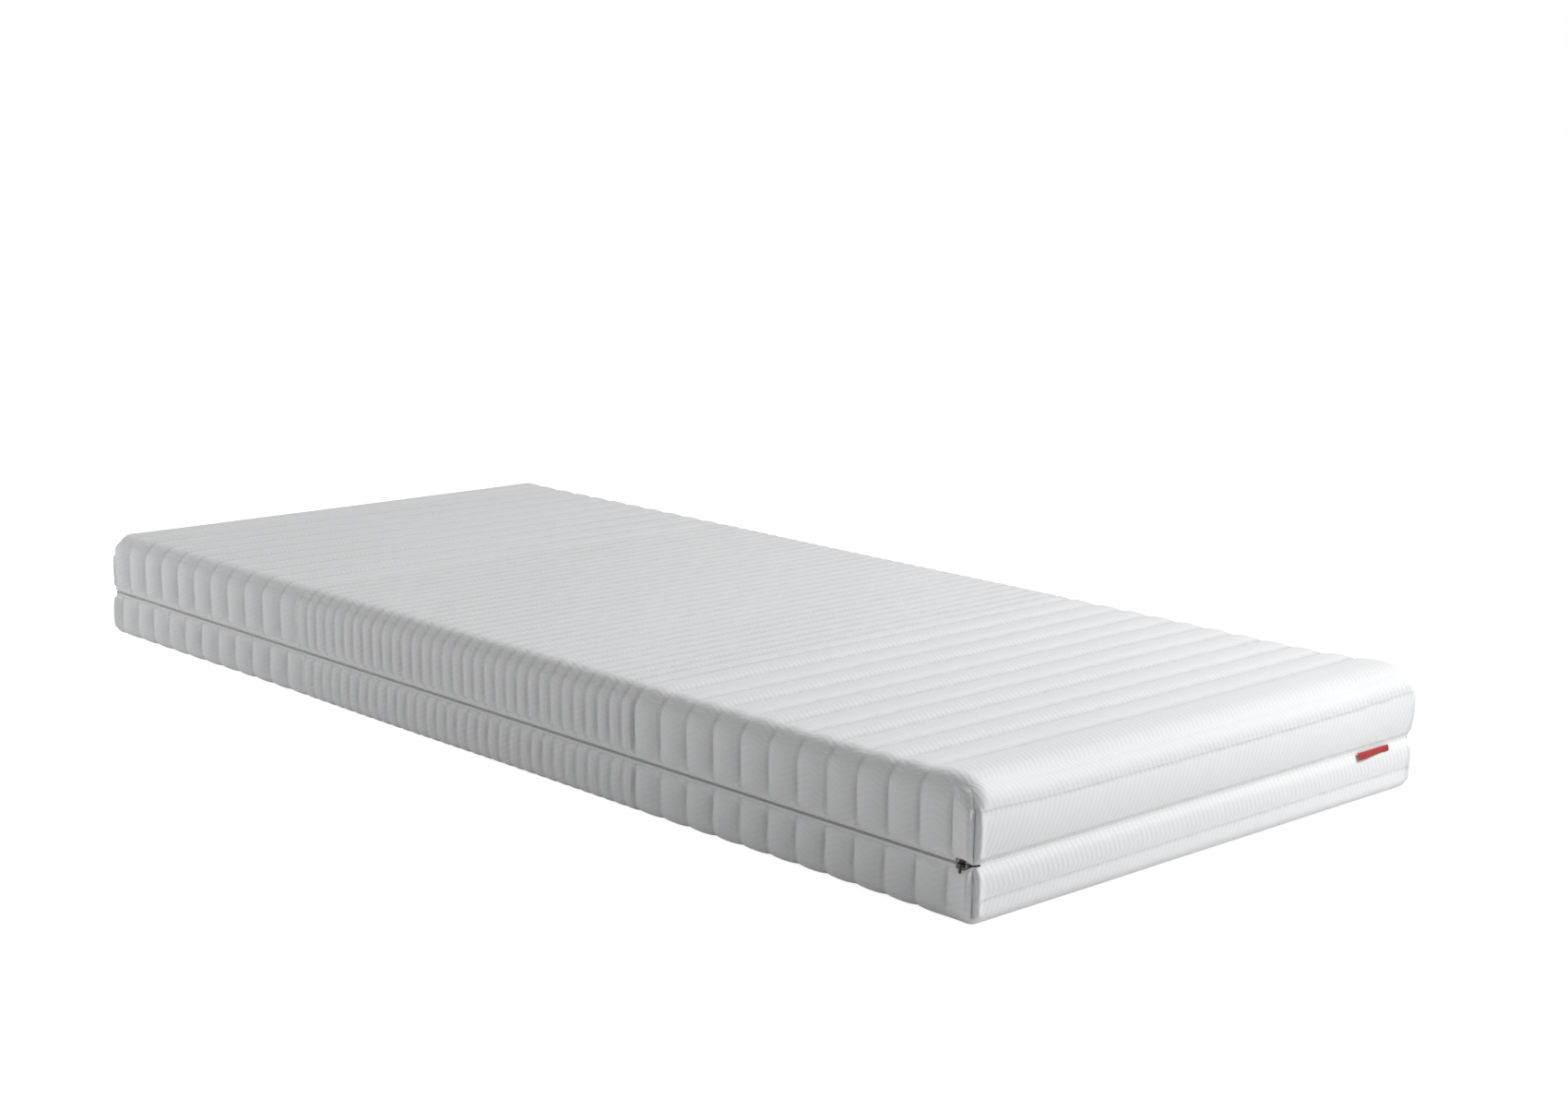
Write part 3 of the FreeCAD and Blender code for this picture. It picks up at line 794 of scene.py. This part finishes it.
def coil_piece(name, node, side, shift):
    """A flattened helix that follows the tape, as one thin four-sided thread."""
    low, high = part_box(node)
    route, ways = zip_route(node, 0.012)
    lengths = distances(route)
    per_turn = 8
    turns = int(lengths[-1] / COIL_PITCH) - 1
    along = shift * COIL_PITCH + np.arange(turns * per_turn) * COIL_PITCH / per_turn
    spots = np.stack([np.interp(along, lengths, route[:, axis]) for axis in (0, 1)], axis=1)
    facing = np.stack([np.interp(along, lengths, ways[:, axis]) for axis in (0, 1)], axis=1)
    facing /= np.linalg.norm(facing, axis=1, keepdims=True)
    angle = np.arange(turns * per_turn) * 2 * math.pi / per_turn
    depth = 0.0009 - 0.00065 * np.sin(angle)
    near = low.z if side > 0 else high.z
    rise = near + side * (0.0006 - 0.0011 * np.cos(angle))
    middle = np.column_stack([spots - facing * depth[:, None], rise])
    tangent = np.gradient(middle, axis=0)
    tangent /= np.linalg.norm(tangent, axis=1, keepdims=True)
    outwards = np.column_stack([facing, np.zeros(len(facing))])
    first = np.cross(tangent, outwards)
    first /= np.linalg.norm(first, axis=1, keepdims=True) + 1e-9
    second = np.cross(tangent, first)
    rings = []
    for turn in range(4):
        theta = turn * math.pi / 2
        rings.append(middle + 0.00044 * (math.cos(theta) * first + math.sin(theta) * second))
    rings.append(rings[0])
    points, faces = loft(rings, closed_ring=False)
    return make_mesh(name, points, faces)


def nylon_material():
    """Translucent-looking white nylon with faint wear where the turns rub."""
    material, nodes, links, surface = new_material("nylon", (0.90, 0.90, 0.89), 0.35)
    place = nodes.new("ShaderNodeTexCoord")
    scuff = nodes.new("ShaderNodeTexNoise")
    scuff.inputs["Scale"].default_value = 900
    links.new(place.outputs["Object"], scuff.inputs["Vector"])
    rough = nodes.new("ShaderNodeMapRange")
    rough.inputs["To Min"].default_value = 0.28
    rough.inputs["To Max"].default_value = 0.5
    links.new(scuff.outputs["Fac"], rough.inputs["Value"])
    links.new(rough.outputs["Result"], surface.inputs["Roughness"])
    return material


nylon = nylon_material()
for name, node, side, body, shift in (("upper_zip_coil", "zip_coil_upper", 1, "upper_cover", 1.0),
                                      ("lower_zip_coil", "zip_coil_lower", -1, "mattress", 0.5)):
    coil = coil_piece(name, node, side, shift)
    give(coil, nylon)
    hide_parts(node)
    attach(coil, body)

# ----------------------------------------------------------------- stops and slider
# Moulded stops end the coils. The slider and its pull are die-cast metal with a dark
# bronze finish that is rubbed brighter in spots.


def node_piece(node):
    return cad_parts[node]


for node in ("zip_stops_lower", "zip_stops_upper"):
    give(node_piece(node), nylon)


def bronze_material():
    """Dark bronze plating over die-cast metal, rubbed through to a warmer tone in spots."""
    material, nodes, links, surface = new_material("dark_bronze", (0.030, 0.022, 0.016), 0.42)
    surface.inputs["Metallic"].default_value = 0.85
    surface.inputs["Specular IOR Level"].default_value = 0.5
    place = nodes.new("ShaderNodeTexCoord")
    wear = nodes.new("ShaderNodeTexNoise")
    wear.inputs["Scale"].default_value = 700
    wear.inputs["Detail"].default_value = 5
    links.new(place.outputs["Object"], wear.inputs["Vector"])
    worn = nodes.new("ShaderNodeMapRange")
    worn.inputs["From Min"].default_value = 0.55
    worn.inputs["From Max"].default_value = 0.72
    links.new(wear.outputs["Fac"], worn.inputs["Value"])
    tint(nodes, links, surface, worn.outputs["Result"], (0.030, 0.022, 0.016, 1), (0.20, 0.13, 0.07, 1))
    roughen(nodes, links, surface, wear.outputs["Fac"], 0.3, 0.0001)
    return material


bronze = bronze_material()
for node in ("zip_slider_body", "zip_pull"):
    give(node_piece(node), bronze)

# ---------------------------------------------------------------- end seam tape
# At the end with the label there is no zip. A soft tape joins the two halves there, and
# the cover folds open along it.


def grid_faces(rows, columns):
    """Faces between the points of a grid that is stored row by row."""
    faces = []
    for row in range(rows - 1):
        for place in range(columns - 1):
            corner = row * columns + place
            faces.append((corner, corner + 1, corner + columns + 1, corner + columns))
    return faces


tape_low, tape_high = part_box("end_seam_tape")
seam_points = []
seam_rows = np.linspace(tape_low.z, tape_high.z, 15)
seam_places = np.linspace(tape_low.y, tape_high.y, 120)
for row in seam_rows:
    bulge = 0.0008 * math.cos((row - ZIP_Z) / (tape_high.z - tape_low.z) * math.pi)
    for place in seam_places:
        seam_points.append(((tape_low.x + tape_high.x) / 2 + bulge, place, row))
end_tape = make_mesh("end_seam_tape_cloth", seam_points,
                     grid_faces(len(seam_rows), len(seam_places)))
give(end_tape, woven_tape)
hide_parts("end_seam_tape")
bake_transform(end_tape)

# -------------------------------------------------------------------- side label
# A small woven satin label is caught in the seam near one corner. It is plain red, and
# its free edge curls a little away from the quilting.
label_low, label_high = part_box("side_label")
label_width = label_high.y - label_low.y
label_points = []
drops, shares = np.linspace(0, 1, 12), np.linspace(0, 1, 40)
for drop in drops:
    for share in shares:
        lift = 0.0012 + 0.0034 * drop ** 0.6 - 0.0007 * drop ** 3
        curl = 0.0012 * drop * math.sin(share * math.pi * 1.7 + 0.6)
        height = ZIP_Z - 0.0006 - 0.0090 * drop + 0.0014 * (share - 0.5) * drop
        label_points.append((HALF_X - 0.0030 + lift + curl, label_low.y + label_width * share, height))
label = make_mesh("side_label_cloth", label_points, grid_faces(len(drops), len(shares)))
label_material, nodes, links, surface = new_material("label_satin", (0.45, 0.02, 0.02), 0.5)
surface.inputs["Sheen Weight"].default_value = 0.05
place = nodes.new("ShaderNodeTexCoord")
threads = nodes.new("ShaderNodeTexWave")
threads.bands_direction = "Y"
threads.inputs["Scale"].default_value = 520
links.new(place.outputs["Object"], threads.inputs["Vector"])
tint(nodes, links, surface, threads.outputs["Fac"], (0.26, 0.008, 0.008, 1), (0.44, 0.018, 0.016, 1))
roughen(nodes, links, surface, threads.outputs["Fac"], 0.4, 0.0002)
give(label, label_material)
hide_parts("side_label")
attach(label, "mattress")

# ------------------------------------------------------------------------ camera
# A normal lens looks down a little on one long side and on the end with the label.
camera_data = bpy.data.cameras.new("camera")
camera_data.lens = 58.5
camera_data.sensor_width = 36
camera = bpy.data.objects.new("camera", camera_data)
camera.location = (2.887, -2.533, 0.990)
yaw, pitch, roll = math.radians(136.72), math.radians(11.0), math.radians(0.81)
facing = Euler((math.pi / 2 - pitch, 0, yaw - math.pi / 2)).to_matrix()
camera.rotation_euler = (facing @ Matrix.Rotation(roll, 3, "Z")).to_euler()
bpy.context.scene.collection.objects.link(camera)
bpy.context.scene.camera = camera

# ----------------------------------------------------------------- floor and light
# A white sweep that looks self-lit to the camera, under a broad lamp high up at the end
# with the label, a weaker one low down on the side of the zip, and an even room.
floor_mesh = bpy.data.meshes.new("floor")
floor_mesh.from_pydata([(-30, -30, 0), (30, -30, 0), (30, 30, 0), (-30, 30, 0)], [], [(0, 1, 2, 3)])
floor = bpy.data.objects.new("floor", floor_mesh)
bpy.context.scene.collection.objects.link(floor)
floor_material, nodes, links, surface = new_material("white_sweep", (0.72, 0.72, 0.72), 0.9)
surface.inputs["Specular IOR Level"].default_value = 0.0
seen = nodes.new("ShaderNodeLightPath")
direct = nodes.new("ShaderNodeMath")
direct.operation = "MAXIMUM"
links.new(seen.outputs["Is Camera Ray"], direct.inputs[0])
links.new(seen.outputs["Is Glossy Ray"], direct.inputs[1])
through = nodes.new("ShaderNodeMath")
through.operation = "MAXIMUM"
links.new(direct.outputs[0], through.inputs[0])
links.new(seen.outputs["Is Transmission Ray"], through.inputs[1])
surface.inputs["Emission Color"].default_value = (1, 1, 1, 1)
from_middle = nodes.new("ShaderNodeVectorMath")
from_middle.operation = "LENGTH"
here = nodes.new("ShaderNodeTexCoord")
links.new(here.outputs["Object"], from_middle.inputs[0])
sweep = nodes.new("ShaderNodeMapRange")
sweep.inputs["From Min"].default_value = 1.3
sweep.inputs["From Max"].default_value = 2.8
sweep.inputs["To Min"].default_value = 0.86
sweep.inputs["To Max"].default_value = 1.0
links.new(from_middle.outputs["Value"], sweep.inputs["Value"])
brightness = nodes.new("ShaderNodeMath")
brightness.operation = "MULTIPLY"
links.new(sweep.outputs["Result"], brightness.inputs[1])
links.new(through.outputs[0], brightness.inputs[0])
links.new(brightness.outputs[0], surface.inputs["Emission Strength"])
give(floor, floor_material)

world = bpy.data.worlds.new("studio")
bpy.context.scene.world = world
world.use_nodes = True
nodes, links = world.node_tree.nodes, world.node_tree.links
room = nodes["Background"]
room.inputs["Strength"].default_value = 0.27
backdrop = nodes.new("ShaderNodeBackground")
seen = nodes.new("ShaderNodeLightPath")
direct = nodes.new("ShaderNodeMath")
direct.operation = "MAXIMUM"
links.new(seen.outputs["Is Camera Ray"], direct.inputs[0])
links.new(seen.outputs["Is Glossy Ray"], direct.inputs[1])
choice = nodes.new("ShaderNodeMixShader")
links.new(direct.outputs[0], choice.inputs["Fac"])
links.new(room.outputs["Background"], choice.inputs[1])
links.new(backdrop.outputs["Background"], choice.inputs[2])
links.new(choice.outputs["Shader"], nodes["World Output"].inputs["Surface"])
for background in (room, backdrop):
    background.inputs["Color"].default_value = (1, 1, 1, 1)


def lamp(name, place, aim, size, power):
    light = bpy.data.lights.new(name, "AREA")
    light.shape = "DISK"
    light.size = size
    light.energy = power
    holder = bpy.data.objects.new(name, light)
    holder.location = place
    way = Vector(aim) - Vector(place)
    holder.rotation_euler = way.to_track_quat("-Z", "Y").to_euler()
    bpy.context.scene.collection.objects.link(holder)
    return holder


lamp("window_light", (3.0, 2.75, 3.25), (0.6, 0, 0.1), 1.7, 219)
lamp("doorway_light", (-3.2, -2.2, 0.35), (0, -0.45, 0.1), 1.2, 51)

bpy.context.scene.view_settings.view_transform = "Standard"
